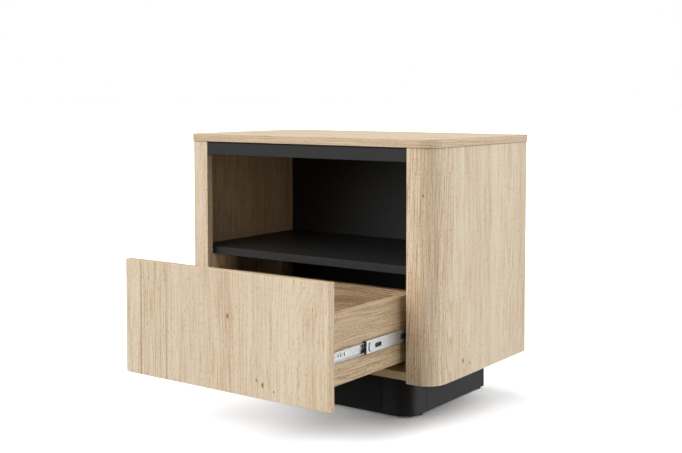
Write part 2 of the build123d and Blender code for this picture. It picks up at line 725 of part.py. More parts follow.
def cage(start, length, web, arm, lip_u, ball_u, ball_v, ball_r, count, tongue=0.0, tongue_half=0.0):
    """A folded strip that holds two rows of balls in round holes."""
    arm_start = start + tongue
    strip = slide_block(web[0], web[1], arm_start, start + length, -arm[1], arm[1])
    for side in (-1, 1):
        low, high = sorted((side * arm[0], side * arm[1]))
        strip += slide_block(lip_u, web[1], arm_start, start + length, low, high)
    if tongue:
        front = slide_block(web[0], web[1], start, arm_start + CLEAR, -tongue_half, tongue_half)
        strip += front
    holes = []
    for x, y, z in ball_places(arm_start, start + length, ball_u, ball_v, count):
        holes.append(rod((x, y, z), "z", ball_r + CAGE_PLAY, 4 * ball_r))
    return strip - holes


def ball_places(y0, y1, u, v, count):
    """The centres of two rows of balls, spread evenly between two ends."""
    pitch = (y1 - y0) / count
    x = BOX_OUTER_X + u
    rows = [SLIDE_Z + v, SLIDE_Z - v]
    return [(x, y0 + pitch * (i + 0.5), z) for i in range(count) for z in rows]


def balls(places, radius):
    """The balls of one cage."""
    return group(Pos(*place) * Sphere(radius) for place in places)


def inner_cage():
    """The cage between the drawer member and the middle member, with a notch in its front end."""
    strip = cage(INNER_CAGE_START, INNER_CAGE_LENGTH, INNER_CAGE_WEB, INNER_CAGE_ARM, INNER_CAGE_LIP_U,
                 INNER_BALL_U, inner_ball_v(), INNER_BALL_R, INNER_BALLS)
    u0, u1 = INNER_CAGE_WEB
    half = INNER_CAGE_MOUTH_HALF
    mouth_end = INNER_CAGE_START + INNER_CAGE_MOUTH
    mouth = slide_block(u0 - CLEAR, u1 + CLEAR, INNER_CAGE_START - CLEAR, mouth_end, -half, half)
    inner_end = mouth.edges().filter_by(Axis.X).group_by(Axis.Y)[-1]
    return strip - fillet(inner_end, half - NEAR)


def outer_cage():
    """The cage between the middle member and the cabinet member, with a plain tongue in front."""
    return cage(OUTER_CAGE_START, OUTER_CAGE_LENGTH, OUTER_CAGE_WEB, OUTER_CAGE_ARM, OUTER_CAGE_LIP_U,
                OUTER_BALL_U, outer_ball_v(), OUTER_BALL_R, OUTER_BALLS,
                OUTER_CAGE_TONGUE, OUTER_CAGE_TONGUE_HALF)


def inner_balls():
    """The balls of the inner cage."""
    end = INNER_CAGE_START + INNER_CAGE_LENGTH
    places = ball_places(INNER_CAGE_START, end, INNER_BALL_U, inner_ball_v(), INNER_BALLS)
    return balls(places, INNER_BALL_R)


def outer_balls():
    """The balls of the outer cage."""
    start = OUTER_CAGE_START + OUTER_CAGE_TONGUE
    end = OUTER_CAGE_START + OUTER_CAGE_LENGTH
    return balls(ball_places(start, end, OUTER_BALL_U, outer_ball_v(), OUTER_BALLS), OUTER_BALL_R)


def release_lever():
    """The plastic lever in the drawer member: two bent halves, a finger pad and a pivot hole."""
    u0, u1 = LEVER_U
    depth = u1 - u0
    arms = []
    for side in (-1, 1):
        arm = block(-depth / 2, depth / 2, 0, LEVER_REACH, -LEVER_HALF, LEVER_HALF)
        arm = arm if side > 0 else mirror(arm, about=Plane.XZ)
        arms.append(Rot(-side * LEVER_SWEEP, 0, 0) * arm)
    hub = rod((0, 0, 0), "x", LEVER_PAD_R, depth)
    pad_angle = Rot(-LEVER_SWEEP, 0, 0)
    pad = pad_angle * rod((0, LEVER_REACH, 0), "x", LEVER_PAD_R, depth)
    lever = arms[0] + arms[1] + hub + pad - rod((0, 0, 0), "x", STUD_R + STUD_PLAY, 2 * depth)
    return Pos(BOX_OUTER_X + (u0 + u1) / 2, LEVER_PIVOT_Y, SLIDE_Z) * lever


def slide_screws(make, part):
    """The screws of the right-hand slide, or their holes, on the cabinet or on the drawer side."""
    if part == "cabinet":
        x = BOX_OUTER_X + SLIDE_THICK - SHEET
        places = [Pos(x, y, SLIDE_Z) * Rot(0, -90, 0) for y in CABINET_SCREW_YS]
    else:
        x = BOX_OUTER_X + SHEET
        places = [Pos(x, y, SLIDE_Z) * Rot(0, 90, 0) for y in DRAWER_SCREW_YS]
    return [place * make() for place in places]


# Writing the nodes

save("top_panel", top_panel())
save_pair("post", post())
save_pair("side_panel", side_panel())
save("bottom_panel", bottom_panel())
save("shelf", shelf())
save("back_panel", back_panel())
save("front_rail", front_rail())
save_pair("front_carrier", carrier(BOX_FRONT_Y, CARRIER_FRONT_END))
save_pair("rear_carrier", carrier(CARRIER_REAR_START, CARRIER_REAR_END))
save("carcass_dowels", group(with_mirror(right_dowels())))
save("rail_dowels", group(with_mirror(right_rail_dowels())))

save("plinth_front", plinth_front())
save("plinth_back", plinth_back())
save_pair("plinth_corner", plinth_corner())
save_pair("plinth_side", plinth_side())
save_pair("front_glide", glide(PLINTH_HALF - GLIDE_INSET, GLIDE_YS[0]))
save_pair("rear_glide", glide(PLINTH_HALF - GLIDE_INSET, GLIDE_YS[1]))
save("plinth_brackets", group(place * bracket() for place in bracket_places()))
save("bracket_screws", group(bracket_screws(small_screw)))

save("drawer_front", drawer_front(), share=1)
save_pair("drawer_side", drawer_side(), share=1)
save("drawer_back", drawer_back(), share=1)
save("drawer_floor", drawer_floor(), share=1)
save("drawer_cams", group(cams()), share=1)
save("drawer_cam_bolts", group(cam_bolts()), share=1)
save("drawer_box_screws", group(box_screws()), share=1)

save_pair("slide_cabinet_member", cabinet_member())
save_pair("slide_middle_member", middle_member(), MIDDLE_SHARE)
save_pair("slide_drawer_member", drawer_member(), share=1)
save_pair("slide_outer_cage", outer_cage(), OUTER_CAGE_SHARE)
save_pair("slide_outer_balls", outer_balls(), OUTER_CAGE_SHARE)
save_pair("slide_inner_cage", inner_cage(), INNER_CAGE_SHARE)
save_pair("slide_inner_balls", inner_balls(), INNER_CAGE_SHARE)
save_pair("release_lever", release_lever(), share=1)
save("cabinet_slide_screws", group(with_mirror(slide_screws(small_screw, "cabinet"))))
save("drawer_slide_screws", group(with_mirror(slide_screws(small_screw, "drawer"))), share=1)
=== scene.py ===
"""Looks of the bedside cabinet: light oak decor boards, black laminate, zinc-plated drawer slides.

Units are metres, in the CAD frame: X to the right, -Y towards the front, Z up, floor at z = 0.
Every part keeps its CAD mesh, edge rounding included, and gets a procedural material.
"""

import functools
import math
from collections import namedtuple

import bpy
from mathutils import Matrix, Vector


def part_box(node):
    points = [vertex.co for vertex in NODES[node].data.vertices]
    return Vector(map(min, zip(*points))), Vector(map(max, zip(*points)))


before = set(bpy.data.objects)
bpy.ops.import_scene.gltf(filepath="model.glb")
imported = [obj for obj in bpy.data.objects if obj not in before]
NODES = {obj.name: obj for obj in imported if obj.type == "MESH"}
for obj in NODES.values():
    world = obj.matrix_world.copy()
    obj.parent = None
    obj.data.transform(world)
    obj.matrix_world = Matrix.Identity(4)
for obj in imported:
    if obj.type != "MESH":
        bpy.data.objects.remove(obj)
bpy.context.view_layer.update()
SLOT_OF = {name: node.material_slots[0].material.name for name, node in NODES.items()}

# ---------------------------------------------------------------- node graph helpers

# Places of the Mix node's sockets, because several share a name.
NUMBER_A, NUMBER_B, COLOUR_A, COLOUR_B = 2, 3, 6, 7
NUMBER_RESULT, COLOUR_RESULT = 0, 2
# Nearly all values of a noise lie between the low one and the high one.
NOISE_LOW, NOISE_MIDDLE, NOISE_HIGH = 0.3, 0.5, 0.7

# A layer of flat noise. Its scale is (across the grain, along it), in features per metre.
Layer = namedtuple("Layer", "scale detail roughness", defaults=(1.0, 0.5))


class Graph:
    """Short calls for building a node tree. A value is a number, a tuple or an output socket."""

    def __init__(self, tree):
        self.tree = tree

    def put(self, socket, value):
        if isinstance(value, bpy.types.NodeSocket):
            self.tree.links.new(value, socket)
        elif value is not None:
            socket.default_value = value

    def node(self, kind, *values, **settings):
        """A new node with its settings, and with values for its first inputs."""
        made = self.tree.nodes.new(kind)
        for key, value in settings.items():
            setattr(made, key, value)
        for socket, value in zip(made.inputs, values):
            self.put(socket, value)
        return made

    def math(self, operation, first, second=None, clamp=False):
        made = self.node("ShaderNodeMath", first, second, operation=operation, use_clamp=clamp)
        return made.outputs[0]

    def add(self, first, second):
        return self.math("ADD", first, second)

    def minus(self, first, second):
        return self.math("SUBTRACT", first, second)

    def times(self, first, second):
        return self.math("MULTIPLY", first, second)

    def total(self, *terms):
        """Sum of (value, weight) pairs."""
        return functools.reduce(self.add, [self.times(value, weight) for value, weight in terms])

    def vector(self, *parts):
        return self.node("ShaderNodeCombineXYZ", *parts).outputs[0]

    def dot(self, vector, weights):
        made = self.node("ShaderNodeVectorMath", vector, weights, operation="DOT_PRODUCT")
        return made.outputs["Value"]

    def length(self, vector):
        return self.node("ShaderNodeVectorMath", vector, operation="LENGTH").outputs["Value"]

    def stretch(self, vector, scale):
        made = self.node("ShaderNodeVectorMath", vector, scale, operation="MULTIPLY")
        return made.outputs["Vector"]

    def place(self):
        """Object coordinates, and the object-space normal."""
        made = self.node("ShaderNodeTexCoord")
        return made.outputs["Object"], made.outputs["Normal"]

    def noise(self, across, along, layer):
        """Flat noise about 0.5."""
        across_scale, along_scale = layer.scale
        at = self.vector(self.times(across, across_scale), self.times(along, along_scale))
        made = self.node("ShaderNodeTexNoise", noise_dimensions="2D")
        self.put(made.inputs["Vector"], at)
        made.inputs["Scale"].default_value = 1.0
        made.inputs["Detail"].default_value = layer.detail
        made.inputs["Roughness"].default_value = layer.roughness
        return made.outputs["Fac"]

    def solid_noise(self, place, scale, detail=2.0):
        made = self.node("ShaderNodeTexNoise")
        self.put(made.inputs["Vector"], place)
        made.inputs["Scale"].default_value = scale
        made.inputs["Detail"].default_value = detail
        return made.outputs["Fac"]

    def centred(self, value, middle=NOISE_MIDDLE):
        return self.minus(value, middle)

    def fit(self, value, low, high, to_low=0.0, to_high=1.0, smooth=True):
        """Maps low to to_low and high to to_high, and stays level outside them."""
        kind = "SMOOTHSTEP" if smooth else "LINEAR"
        made = self.node(
            "ShaderNodeMapRange", value, low, high, to_low, to_high, interpolation_type=kind
        )
        return made.outputs[0]

    def spread(self, noise, to_low, to_high, smooth=True):
        """Maps the usual span of a noise."""
        return self.fit(noise, NOISE_LOW, NOISE_HIGH, to_low, to_high, smooth)

    def mix(self, share, first, second):
        """Mix of two colours."""
        made = self.node("ShaderNodeMix", data_type="RGBA")
        self.put(made.inputs["Factor"], share)
        self.put(made.inputs[COLOUR_A], first)
        self.put(made.inputs[COLOUR_B], second)
        return made.outputs[COLOUR_RESULT]

    def pick(self, share, first, second):
        """Mix of two numbers."""
        made = self.node("ShaderNodeMix", share)
        self.put(made.inputs[NUMBER_A], first)
        self.put(made.inputs[NUMBER_B], second)
        return made.outputs[NUMBER_RESULT]

    def bump(self, height, distance, strength):
        made = self.node("ShaderNodeBump")
        made.inputs["Strength"].default_value = strength
        made.inputs["Distance"].default_value = distance
        self.put(made.inputs["Height"], height)
        return made.outputs["Normal"]


def new_material(name):
    material = bpy.data.materials.new(name)
    material.use_nodes = True
    tree = material.node_tree
    return material, Graph(tree), tree.nodes["Principled BSDF"]


def darker(colour, share):
    """A colour that keeps this share of its light."""
    return tuple(share * part for part in colour[:3]) + (1.0,)


# ---------------------------------------------------------------- camera, floor and light

CAMERA_AT = (1.3563, -1.8293, 0.6481)
CAMERA_YAW = math.radians(35.49)
CAMERA_DIP = math.radians(3.217)
LENS = 57.575
SENSOR_WIDTH = 36.0
SHIFT_Y = -0.10
WHITE = (1.0, 1.0, 1.0)
WOOD_GLOW = (1.0, 0.70, 0.42)
WORLD_FILL = 0.14
FLOOR_HALF = 60.0
FLOOR_GREYS = ((0.89, 0.89, 0.89, 1.0), (0.91, 0.91, 0.91, 1.0))


def add_camera():
    data = bpy.data.cameras.new("camera")
    data.lens = LENS
    data.sensor_width = SENSOR_WIDTH
    data.shift_y = SHIFT_Y
    camera = bpy.data.objects.new("camera", data)
    camera.location = CAMERA_AT
    camera.rotation_euler = (math.pi / 2 - CAMERA_DIP, 0.0, CAMERA_YAW)
    bpy.context.scene.collection.objects.link(camera)
    bpy.context.scene.camera = camera


def add_floor():
    """Pale floor. It lights nothing itself, so that the suns alone set the depth of the shade."""
    mesh = bpy.data.meshes.new("floor")
    corners = ((-1, -1), (1, -1), (1, 1), (-1, 1))
    points = [(x * FLOOR_HALF, y * FLOOR_HALF, 0.0) for x, y in corners]
    mesh.from_pydata(points, [], [(0, 1, 2, 3)])
    made = bpy.data.objects.new("floor", mesh)
    bpy.context.scene.collection.objects.link(made)
    made.visible_diffuse = False
    made.visible_glossy = False
    material, g, shader = new_material("pale_floor")
    place, _ = g.place()
    g.put(shader.inputs["Base Color"], g.mix(g.solid_noise(place, scale=3.0), *FLOOR_GREYS))
    shader.inputs["Roughness"].default_value = 0.9
    shader.inputs["Specular IOR Level"].default_value = 0.0
    mesh.materials.append(material)
    return made


def add_sun(name, azimuth, elevation, spread, level, only=None, all_but=None, tint=WHITE):
    """A soft distant light, with its angles in degrees.

    Azimuth 0 is straight in front, and grows to the right. level is how bright the light makes a
    white matt surface that faces it. only is the one object that it lights, and all_but the one
    that it leaves out."""
    data = bpy.data.lights.new(name, "SUN")
    data.color = tint
    data.energy = level * math.pi
    data.angle = math.radians(spread)
    light = bpy.data.objects.new(name, data)
    turn, rise = math.radians(azimuth), math.radians(elevation)
    away = Vector(
        (math.sin(turn) * math.cos(rise), -math.cos(turn) * math.cos(rise), math.sin(rise))
    )
    light.rotation_euler = away.to_track_quat("Z", "Y").to_euler()
    bpy.context.scene.collection.objects.link(light)
    if only or all_but:
        receivers = bpy.data.collections.new(name)
        receivers.objects.link(only or all_but)
        if all_but:
            receivers.collection_objects[0].light_linking.link_state = "EXCLUDE"
        light.light_linking.receiver_collection = receivers


def add_world():
    """White to the camera, and a dim even fill for everything that it lights."""
    world = bpy.data.worlds.new("studio")
    bpy.context.scene.world = world
    world.use_nodes = True
    g = Graph(world.node_tree)
    is_camera = g.node("ShaderNodeLightPath").outputs["Is Camera Ray"]
    background = world.node_tree.nodes["Background"]
    background.inputs["Color"].default_value = WHITE + (1.0,)
    level = g.fit(is_camera, 0.0, 1.0, WORLD_FILL, 1.0, smooth=False)
    g.put(background.inputs["Strength"], level)


# ---------------------------------------------------------------- oak decor

# Light, dark and reddish parts of each decor.
OAK = ((0.762, 0.664, 0.502, 1.0), (0.45, 0.265, 0.125, 1.0), (0.69, 0.550, 0.395, 1.0))
BOX_OAK = ((0.59, 0.450, 0.285, 1.0), (0.24, 0.145, 0.070, 1.0), (0.53, 0.390, 0.230, 1.0))
# The bottom decor is much paler and warmer than the others: painted light on the bottom panel's
# front edge, which lies in the drawer's shadow.
BOTTOM_OAK_PAINTED_LIGHT = ((0.95, 0.720, 0.465, 1.0), (0.60, 0.370, 0.170, 1.0), (0.90, 0.650, 0.400, 1.0))
KNOT_BROWN = (0.12, 0.065, 0.035, 1.0)

# Each seed takes its decor from another part of an endless pattern.
SEED_ACROSS, SEED_ALONG = 3.71, 1.93

# Slow and quick bends of the grain, how far each moves it, and their share in drawn-in marks.
SWAY, SWAY_REACH = Layer((4.0, 1.1)), 0.030
RIPPLE, RIPPLE_REACH = Layer((30.0, 7.0), 2.0), 0.0035
MARK_BEND = 0.4

# Growth rings, with wide arches among them, clear in some patches and faint in the others.
RINGS_PER_METRE = 130.0
CATHEDRAL, CATHEDRAL_RINGS = Layer((6.0, 0.9)), 24.0
RING_SHARPNESS = 3.0
RING_PATCH, RING_PATCH_CUT, FAINT_RING = Layer((11.0, 1.6), 2.0), (0.40, 0.66), 0.20

# The other layers, with the values of their noise that count as none and as full. Pores are weak
# early in a ring's phase and full late in it.
BAND, BAND_MIDDLE = Layer((42.0, 1.3), 3.0, 0.60), 0.47
STREAK = Layer((280.0, 3.6), 3.0, 0.65)
FIBRE = Layer((800.0, 9.0), 2.0, 0.70)
PORE, PORE_CUT = Layer((700.0, 110.0)), (0.58, 0.72)
PORE_PHASE, WEAK_PORE = (0.1, 0.8), 0.35
LONG_PORE, LONG_PORE_CUT = Layer((430.0, 16.0)), (0.62, 0.74)
MINERAL, MINERAL_CUT = Layer((22.0, 0.7)), (0.60, 0.80)
PLANKS_PER_METRE = 9.0

# How far each layer darkens the decor, reddens it, or stands out of it.
BAND_DARK, STREAK_DARK, FIBRE_DARK, RING_DARK = 0.45, 0.95, 1.9, 0.30
PORE_DARK, LONG_PORE_DARK, MINERAL_DARK, PLANK_DARK, SWELL_DARK = 0.55, 0.22, 0.14, 0.06, 0.06
MINERAL_RED, PLANK_RED = 0.35, 0.25
PORE_HEIGHT, RING_HEIGHT = -0.7, -0.3

# Knots have a rough outline, longer along the grain, and the rings swell round them. Their sizes
# are in radii.
KNOT_NOISE, KNOT_ROUGHNESS = Layer((420.0, 260.0), 2.0), 1.3
KNOT_SQUEEZE, KNOT_FADE = 0.6, (0.3, 1.2)
SWELL_REACH, SWELL_RINGS = 11.0, 2.2
# Arches are sets of ovals, five times as long as wide. Their sizes are in half widths.
ARCH_SQUEEZE, ARCH_LINES, ARCH_SHARPNESS, ARCH_FADE = 0.2, 4.5, 2.5, (0.5, 1.0)

X, Y, Z = (1.0, 0.0, 0.0), (0.0, 1.0, 0.0), (0.0, 0.0, 1.0)
# A face looks along an axis when its normal is within about 45 degrees of it.
FACING = (0.69, 0.71)


class Layout:
    """How a board's grain lies. main is the normal of the faces that aren't edges. face and flat
    are the directions across and along the grain, on upright faces and on level ones. A mirrored
    board has the same pattern on its left and right edges."""

    def __init__(self, main, face, flat, mirrored=False):
        self.main, self.face, self.flat, self.mirrored = main, face, flat, mirrored


UPRIGHT_FRONT = Layout(Y, ((1.0, 1.0, 0.0), Z), (Y, X))
UPRIGHT_SIDE = Layout(X, ((1.0, 1.0, 0.0), Z), (Y, X))
UPRIGHT_LEFT_SIDE = Layout(X, ((-1.0, 1.0, 0.0), Z), (Y, X))
LEVEL = Layout(Z, (Z, (1.0, 1.0, 0.0)), (Y, X), mirrored=True)
CROSSWISE = Layout(Y, ((0.0, 1.0, 1.0), X), ((0.0, 1.0, 1.0), X))
LENGTHWISE = Layout(X, ((1.0, 0.0, 1.0), Y), ((1.0, 0.0, 1.0), Y))


def facing(g, normal, axis, no=0.0, yes=1.0):
    """yes where the surface looks along an axis, either way, and no elsewhere."""
    return g.fit(g.math("ABSOLUTE", g.dot(normal, axis)), *FACING, no, yes, smooth=False)


def grain_place(g, layout):
    """Distances across and along the grain on the face being shaded, and 1 on the edges."""
    place, normal = g.place()
    side_place = place
    if layout.mirrored:
        x, y, z = g.node("ShaderNodeSeparateXYZ", place).outputs
        side_place = g.vector(g.math("ABSOLUTE", x), y, z)
    is_flat = facing(g, normal, Z)
    is_edge = facing(g, normal, layout.main, no=1.0, yes=0.0)
    across, along = (
        g.pick(is_flat, g.dot(side_place, face), g.dot(place, flat))
        for face, flat in zip(layout.face, layout.flat)
    )
    return across, along, is_edge


def oval(g, across, along, middle, radius, squeeze):
    """Distance from a middle in radii, with distances along the grain squeezed."""
    at_across, at_along = middle
    return g.length(
        g.vector(
            g.times(g.minus(across, at_across), 1.0 / radius),
            g.times(g.minus(along, at_along), squeeze / radius),
        )
    )


def knot_fields(g, across, along, knots):
    """The dark middles of the knots, and the wide soft swellings that bend the rings round them."""
    core, swell = 0.0, 0.0
    wobble = g.times(g.centred(g.noise(across, along, KNOT_NOISE)), KNOT_ROUGHNESS)
    for at_across, at_along, radius, darkness in knots:
        reach = oval(g, across, along, (at_across, at_along), radius, KNOT_SQUEEZE)
        dark = g.fit(g.add(reach, wobble), *KNOT_FADE, darkness, 0.0)
        core = g.math("MAXIMUM", core, dark)
        swell = g.math("MAXIMUM", swell, g.fit(reach, 0.0, SWELL_REACH, 1.0, 0.0))
    return core, swell


def arch_lines(g, across, along, arches):
    """Nested long ovals, as where a board was cut close to the middle of the trunk."""
    lines = 0.0
    for at_across, at_along, half_width, depth in arches:
        reach = oval(g, across, along, (at_across, at_along), half_width, ARCH_SQUEEZE)
        line = g.math("POWER", g.math("FRACT", g.times(reach, ARCH_LINES)), ARCH_SHARPNESS)
        lines = g.add(lines, g.times(line, g.fit(reach, *ARCH_FADE, depth, 0.0)))
    return lines


def growth_rings(g, u, v, bent, swell):
    """The phase of the growth rings, and their dark lines."""
    cathedral = g.times(g.noise(u, v, CATHEDRAL), CATHEDRAL_RINGS)
    count = g.add(g.times(bent, RINGS_PER_METRE), cathedral)
    phase = g.math("FRACT", g.add(count, g.times(swell, SWELL_RINGS)))
    line = g.math("POWER", phase, RING_SHARPNESS)
    clear = g.fit(g.noise(u, v, RING_PATCH), *RING_PATCH_CUT, FAINT_RING, 1.0)
    return phase, g.times(line, clear)


def plank_tones(g, u):
    """One tone for each of the planks that the decor shows."""
    made = g.node("ShaderNodeTexWhiteNoise", noise_dimensions="1D")
    g.put(made.inputs["W"], g.math("FLOOR", g.times(u, PLANKS_PER_METRE)))
    return made.outputs["Value"]


def oak(
    name,
    layout,
    seed,
    knots=(),
    streaks=(),
    arches=(),
    contrast=1.0,
    edge_tone_and_painted_shade=0.10,
    shade=0.10,
    decor=OAK,
):
    """Oak decor. knots are (across, along, radius, darkness), arches (across, along, half width,
    depth) and streaks (across, half width, depth), in metres in the layout's own directions on the
    board's main face."""
    material, g, shader = new_material(name)
    across, along, is_edge = grain_place(g, layout)
    core, swell = knot_fields(g, across, along, knots)

    u = g.add(across, seed * SEED_ACROSS)
    v = g.add(along, seed * SEED_ALONG)
    drift = g.total(
        (g.centred(g.noise(u, v, SWAY)), SWAY_REACH),
        (g.centred(g.noise(u, v, RIPPLE)), RIPPLE_REACH),
    )
    bent = g.add(u, drift)

    phase, ring = growth_rings(g, u, v, bent, swell)
    band = g.noise(bent, v, BAND)
    streak = g.noise(bent, v, STREAK)
    fibre = g.noise(bent, v, FIBRE)
    pore = g.times(
        g.fit(g.noise(bent, v, PORE), *PORE_CUT), g.fit(phase, *PORE_PHASE, WEAK_PORE, 1.0)
    )
    long_pore = g.fit(g.noise(bent, v, LONG_PORE), *LONG_PORE_CUT)
    mineral = g.fit(g.noise(bent, v, MINERAL), *MINERAL_CUT)
    plank = plank_tones(g, u)

    dark = g.total(
        (g.centred(band, BAND_MIDDLE), BAND_DARK),
        (g.centred(streak), STREAK_DARK),
        (g.centred(fibre), FIBRE_DARK),
        (ring, RING_DARK),
        (pore, PORE_DARK),
        (long_pore, LONG_PORE_DARK),
        (mineral, MINERAL_DARK),
        (g.centred(plank), PLANK_DARK),
    )
    marked = g.add(across, g.times(drift, MARK_BEND))
    for at_across, half_width, depth in streaks:
        off = g.math("ABSOLUTE", g.minus(marked, at_across))
        dark = g.add(dark, g.fit(off, 0.0, half_width, depth, 0.0))
    dark = g.add(dark, arch_lines(g, marked, along, arches))
    dark = g.add(dark, g.times(swell, SWELL_DARK))
    # Edge faces get darker by edge_tone_and_painted_shade. This is partly a darker edge-band tone
    # and partly painted shade on edges that face away from the light. A value below zero paints a
    # highlight instead.
    dark = g.add(dark, g.times(is_edge, edge_tone_and_painted_shade))
    dark = g.math("ADD", g.times(dark, contrast), shade, clamp=True)

    light, deep, red = decor
    redness = g.math("ADD", g.times(mineral, MINERAL_RED), g.times(plank, PLANK_RED), clamp=True)
    colour = g.mix(dark, g.mix(redness, light, red), deep)
    g.put(shader.inputs["Base Color"], g.mix(core, colour, KNOT_BROWN))
    g.put(shader.inputs["Roughness"], g.spread(fibre, 0.46, 0.60, smooth=False))
    height = g.total((pore, PORE_HEIGHT), (ring, RING_HEIGHT))
    g.put(shader.inputs["Normal"], g.bump(height, distance=0.0001, strength=0.6))
    return material


# ---------------------------------------------------------------- laminate, metal, plastic, wood

BLACK_GREYS = ((0.0125, 0.0125, 0.0130), (0.0175, 0.0175, 0.0180))
CLOUDED_METAL = 0.88
ROLLING_SHARE = 0.6
CLOUD_SHARE = 0.35


def black_laminate(name, depth, sheen):
    """Matt black decor. depth is the share of the usual grey that it keeps."""
    material, g, shader = new_material(name)
    place, _ = g.place()
    mottle = g.solid_noise(place, scale=45.0, detail=3.0)
    grain = g.solid_noise(place, scale=1800.0)
    colour = g.mix(mottle, *(darker(grey, depth) for grey in BLACK_GREYS))
    g.put(shader.inputs["Base Color"], colour)
    g.put(shader.inputs["Roughness"], g.spread(grain, 0.44, 0.56, smooth=False))
    g.put(shader.inputs["Normal"], g.bump(grain, distance=0.00006, strength=0.5))
    shader.inputs["Specular IOR Level"].default_value = sheen
    return material


def metal(name, colour, roughness, stretch=(1.0, 1.0, 1.0)):
    """Metal with faint rolling lines. roughness is (least, most), and stretch scales the pattern
    of lines by axis."""
    material, g, shader = new_material(name)
    place, _ = g.place()
    lines = g.solid_noise(g.stretch(place, stretch), scale=900.0, detail=3.0)
    cloud = g.solid_noise(place, scale=60.0, detail=3.0)
    g.put(shader.inputs["Base Color"], g.mix(cloud, colour, darker(colour, CLOUDED_METAL)))
    shader.inputs["Metallic"].default_value = 1.0
    g.put(shader.inputs["Roughness"], g.spread(g.pick(ROLLING_SHARE, cloud, lines), *roughness))
    g.put(shader.inputs["Normal"], g.bump(lines, distance=0.00002, strength=0.35))
    return material


def plastic(name, light, dark):
    material, g, shader = new_material(name)
    place, _ = g.place()
    spark = g.solid_noise(place, scale=2600.0)
    cloud = g.solid_noise(place, scale=120.0)
    g.put(shader.inputs["Base Color"], g.mix(cloud, light, dark))
    g.put(shader.inputs["Roughness"], g.spread(spark, 0.38, 0.55))
    g.put(shader.inputs["Normal"], g.bump(spark, distance=0.00003, strength=0.5))
    shader.inputs["Specular IOR Level"].default_value = 0.25
    return material


def pale_wood(name, light, dark, stretch):
    """Plain close-grained wood or board, with its grain along the axis that stretch keeps small."""
    material, g, shader = new_material(name)
    place, _ = g.place()
    grain = g.solid_noise(g.stretch(place, stretch), scale=500.0, detail=3.0)
    cloud = g.solid_noise(place, scale=25.0)
    g.put(shader.inputs["Base Color"], g.mix(g.pick(CLOUD_SHARE, grain, cloud), light, dark))
    g.put(shader.inputs["Roughness"], g.spread(grain, 0.5, 0.65))
    g.put(shader.inputs["Normal"], g.bump(grain, distance=0.00005, strength=0.4))
    return material


# ---------------------------------------------------------------- finishing the CAD nodes

UP_AXIS = 2


def finish(material, *names):
    """Gives CAD nodes their material. They keep their meshes."""
    for name in names:
        for slot in NODES[name].material_slots:
            slot.material = material


class Marks:
    """Places marks on an upright board's main face, at fractions of its width and height."""

    def __init__(self, node, axis, face_axis, end):
        """axis is the one across the grain. face_axis is the one that the main face looks along,
        and end is 0 where that is the low end of the board's box and 1 where it is the high."""
        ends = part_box(node)
        self.low, self.high = ends
        self.axis = axis
        self.face = ends[end][face_axis]

    def at(self, axis, share):
        return self.low[axis] + share * (self.high[axis] - self.low[axis])

    def spot(self, across, along, size, strength=0.85):
        """A knot or an arch."""
        return self.at(self.axis, across) + self.face, self.at(UP_AXIS, along), size, strength

    def streak(self, across, half_width, depth):
        """A dark streak along the grain, or a light one where depth is below zero."""
        return self.at(self.axis, across) + self.face, half_width, depth


# ---------------------------------------------------------------- the scene

add_camera()
bpy.context.scene.view_settings.view_transform = "Standard"
floor = add_floor()
add_world()
add_sun("front_left", azimuth=-30, elevation=32, spread=70, level=1.05)
add_sun("right", azimuth=122, elevation=15, spread=80, level=1.17, all_but=floor)
add_sun("above", azimuth=0, elevation=85, spread=60, level=0.19)
add_sun("fill", azimuth=35, elevation=10, spread=50, level=0.08, all_but=floor, tint=WOOD_GLOW)
add_sun("floor_rear", azimuth=145, elevation=34, spread=50, level=1.1, only=floor)
add_sun("floor_right", azimuth=85, elevation=50, spread=24, level=0.16, only=floor)
add_sun("floor_front", azimuth=-45, elevation=16, spread=30, level=1.35, only=floor)
add_sun("floor_left", azimuth=-85, elevation=16, spread=30, level=1.35, only=floor)

front = Marks("drawer_front", axis=0, face_axis=1, end=0)
oak_front = oak(
    "oak_drawer_front",
    UPRIGHT_FRONT,
    seed=1,
    # edge_tone_and_painted_shade=0.30 darkens the drawer front's top edge and ends: partly
    # edge-band tone, partly painted shade.
    edge_tone_and_painted_shade=0.30,
    knots=[
        front.spot(0.535, 0.63, 0.0034),
        front.spot(0.580, 0.72, 0.0016, 0.6),
        front.spot(0.702, 0.115, 0.0034),
        front.spot(0.672, 0.145, 0.0026, 0.7),
        front.spot(0.755, 0.080, 0.0020),
        front.spot(0.058, 0.41, 0.0016, 0.3),
        front.spot(0.910, 0.66, 0.0040, 0.15),
        front.spot(0.900, 0.12, 0.0060, 0.0),
    ],
    streaks=[
        front.streak(0.084, 0.0040, 0.60),
        front.streak(0.1005, 0.0022, 0.40),
        front.streak(0.1115, 0.0018, 0.30),
        front.streak(0.1225, 0.0018, 0.24),
        front.streak(0.161, 0.0022, 0.26),
        front.streak(0.188, 0.0020, 0.20),
        front.streak(0.220, 0.0026, 0.34),
        front.streak(0.045, 0.0160, -0.12),
        front.streak(0.140, 0.0360, 0.10),
        front.streak(0.880, 0.0900, -0.25),
    ],
    arches=[front.spot(0.875, 0.0, 0.020, 0.34), front.spot(0.505, 0.59, 0.014, 0.26)],
)
right = Marks("right_side_panel", axis=1, face_axis=0, end=1)
